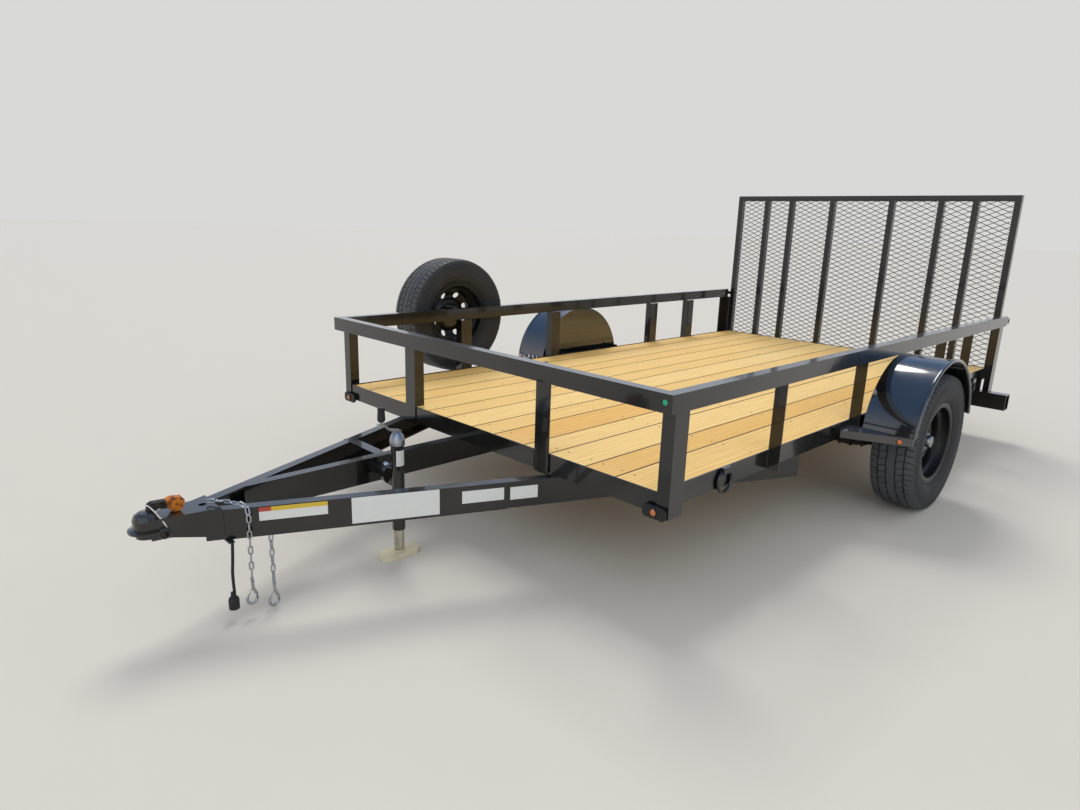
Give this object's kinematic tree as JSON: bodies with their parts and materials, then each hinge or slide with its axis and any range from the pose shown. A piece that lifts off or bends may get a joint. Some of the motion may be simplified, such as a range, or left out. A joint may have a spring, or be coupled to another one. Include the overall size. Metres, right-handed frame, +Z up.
{
  "type": "utility trailer",
  "caption": "Open single-axle utility trailer with wooden deck, low tube rails, raked channel tongue, swivel jack, side-hung spare wheel and mesh ramp gate.",
  "frame": {"origin": "on the ground under the middle of the trailer's overall box, nose to gate", "axes": "+X to the trailer's left side, -Y forward to the coupler, +Z up"},
  "size_m": [2.59, 4.958, 1.555],
  "materials": {
    "black_paint": "gloss",
    "wheel_paint": "satin",
    "gate_paint": "satin",
    "deck_pine": "weathered",
    "tyre_rubber": "matte",
    "zinc": "satin",
    "dark_steel": "satin",
    "amber_lens": "gloss",
    "red_lens": "gloss",
    "black_plastic": "matte"
  },
  "bodies": {
    "chassis": {"axle": "black_paint", "cable_clip": "black_plastic", "chain_left": "zinc", "chain_right": "zinc", "coupler": "black_paint", "coupler_latch": "zinc", "crossmembers": "black_paint", "deck_boards": "deck_pine", "fender_left": "black_paint", "fender_right": "black_paint", "fender_step_left": "black_paint", "fender_step_right": "black_paint", "frame_front": "black_paint", "frame_rear": "black_paint", "frame_side_left": "black_paint", "frame_side_right": "black_paint", "front_posts": "black_paint", "gate_lugs": "black_paint", "jack_mount": "black_paint", "leaf_spring_left": "dark_steel", "leaf_spring_right": "dark_steel", "marker_bases": "black_plastic", "marker_lamps": "amber_lens", "rear_light_bar": "black_paint", "side_posts_left": "black_paint", "side_posts_right": "black_paint", "spare_mount": "black_paint", "spare_tyre": "tyre_rubber", "spare_wheel": "wheel_paint", "spring_gear_left": "dark_steel", "spring_gear_right": "dark_steel", "tail_lamps": "red_lens", "tie_down_rings": "black_paint", "tongue_brace": "black_paint", "tongue_centre": "black_paint", "tongue_leg_left": "black_paint", "tongue_leg_right": "black_paint", "top_rail_front": "black_paint", "top_rail_left": "black_paint", "top_rail_right": "black_paint", "wiring_cable": "black_plastic", "wiring_plug": "black_plastic"},
    "wheel_left": {"tyre_left": "tyre_rubber", "wheel_left": "wheel_paint", "hub_left": "zinc"},
    "wheel_right": {"tyre_right": "tyre_rubber", "wheel_right": "wheel_paint", "hub_right": "zinc"},
    "ramp_gate": {"gate_frame": "gate_paint", "gate_mesh_front": "gate_paint", "gate_mesh_back": "gate_paint", "gate_fittings": "gate_paint"},
    "jack_swivel": {"jack_tube": "black_paint", "jack_crank": "zinc", "jack_grip": "black_plastic"},
    "jack_slide": {"jack_leg": "zinc"}
  },
  "joints": [
    {"name": "wheel_left_spin", "type": "hinge", "parent": "chassis", "child": "wheel_left", "pos_m": [1.183, 0.67695, 0.3315], "axis": [1, 0, 0], "continuous": true},
    {"name": "wheel_right_spin", "type": "hinge", "parent": "chassis", "child": "wheel_right", "pos_m": [-1.183, 0.67695, 0.3315], "axis": [1, 0, 0], "continuous": true},
    {"name": "gate_hinge", "type": "hinge", "parent": "chassis", "child": "ramp_gate", "pos_m": [0, 2.45295, 0.352], "axis": [-1, 0, 0], "range_deg": [0, 105.5]},
    {"name": "jack_turn", "type": "hinge", "parent": "chassis", "child": "jack_swivel", "pos_m": [0, -1.54905, 0.326], "axis": [-1, 0, 0], "range_deg": [0, 90]},
    {"name": "jack_screw", "type": "slide", "parent": "jack_swivel", "child": "jack_slide", "axis": [0, 0, 1], "range_m": [-0.15, 0]}
  ]
}
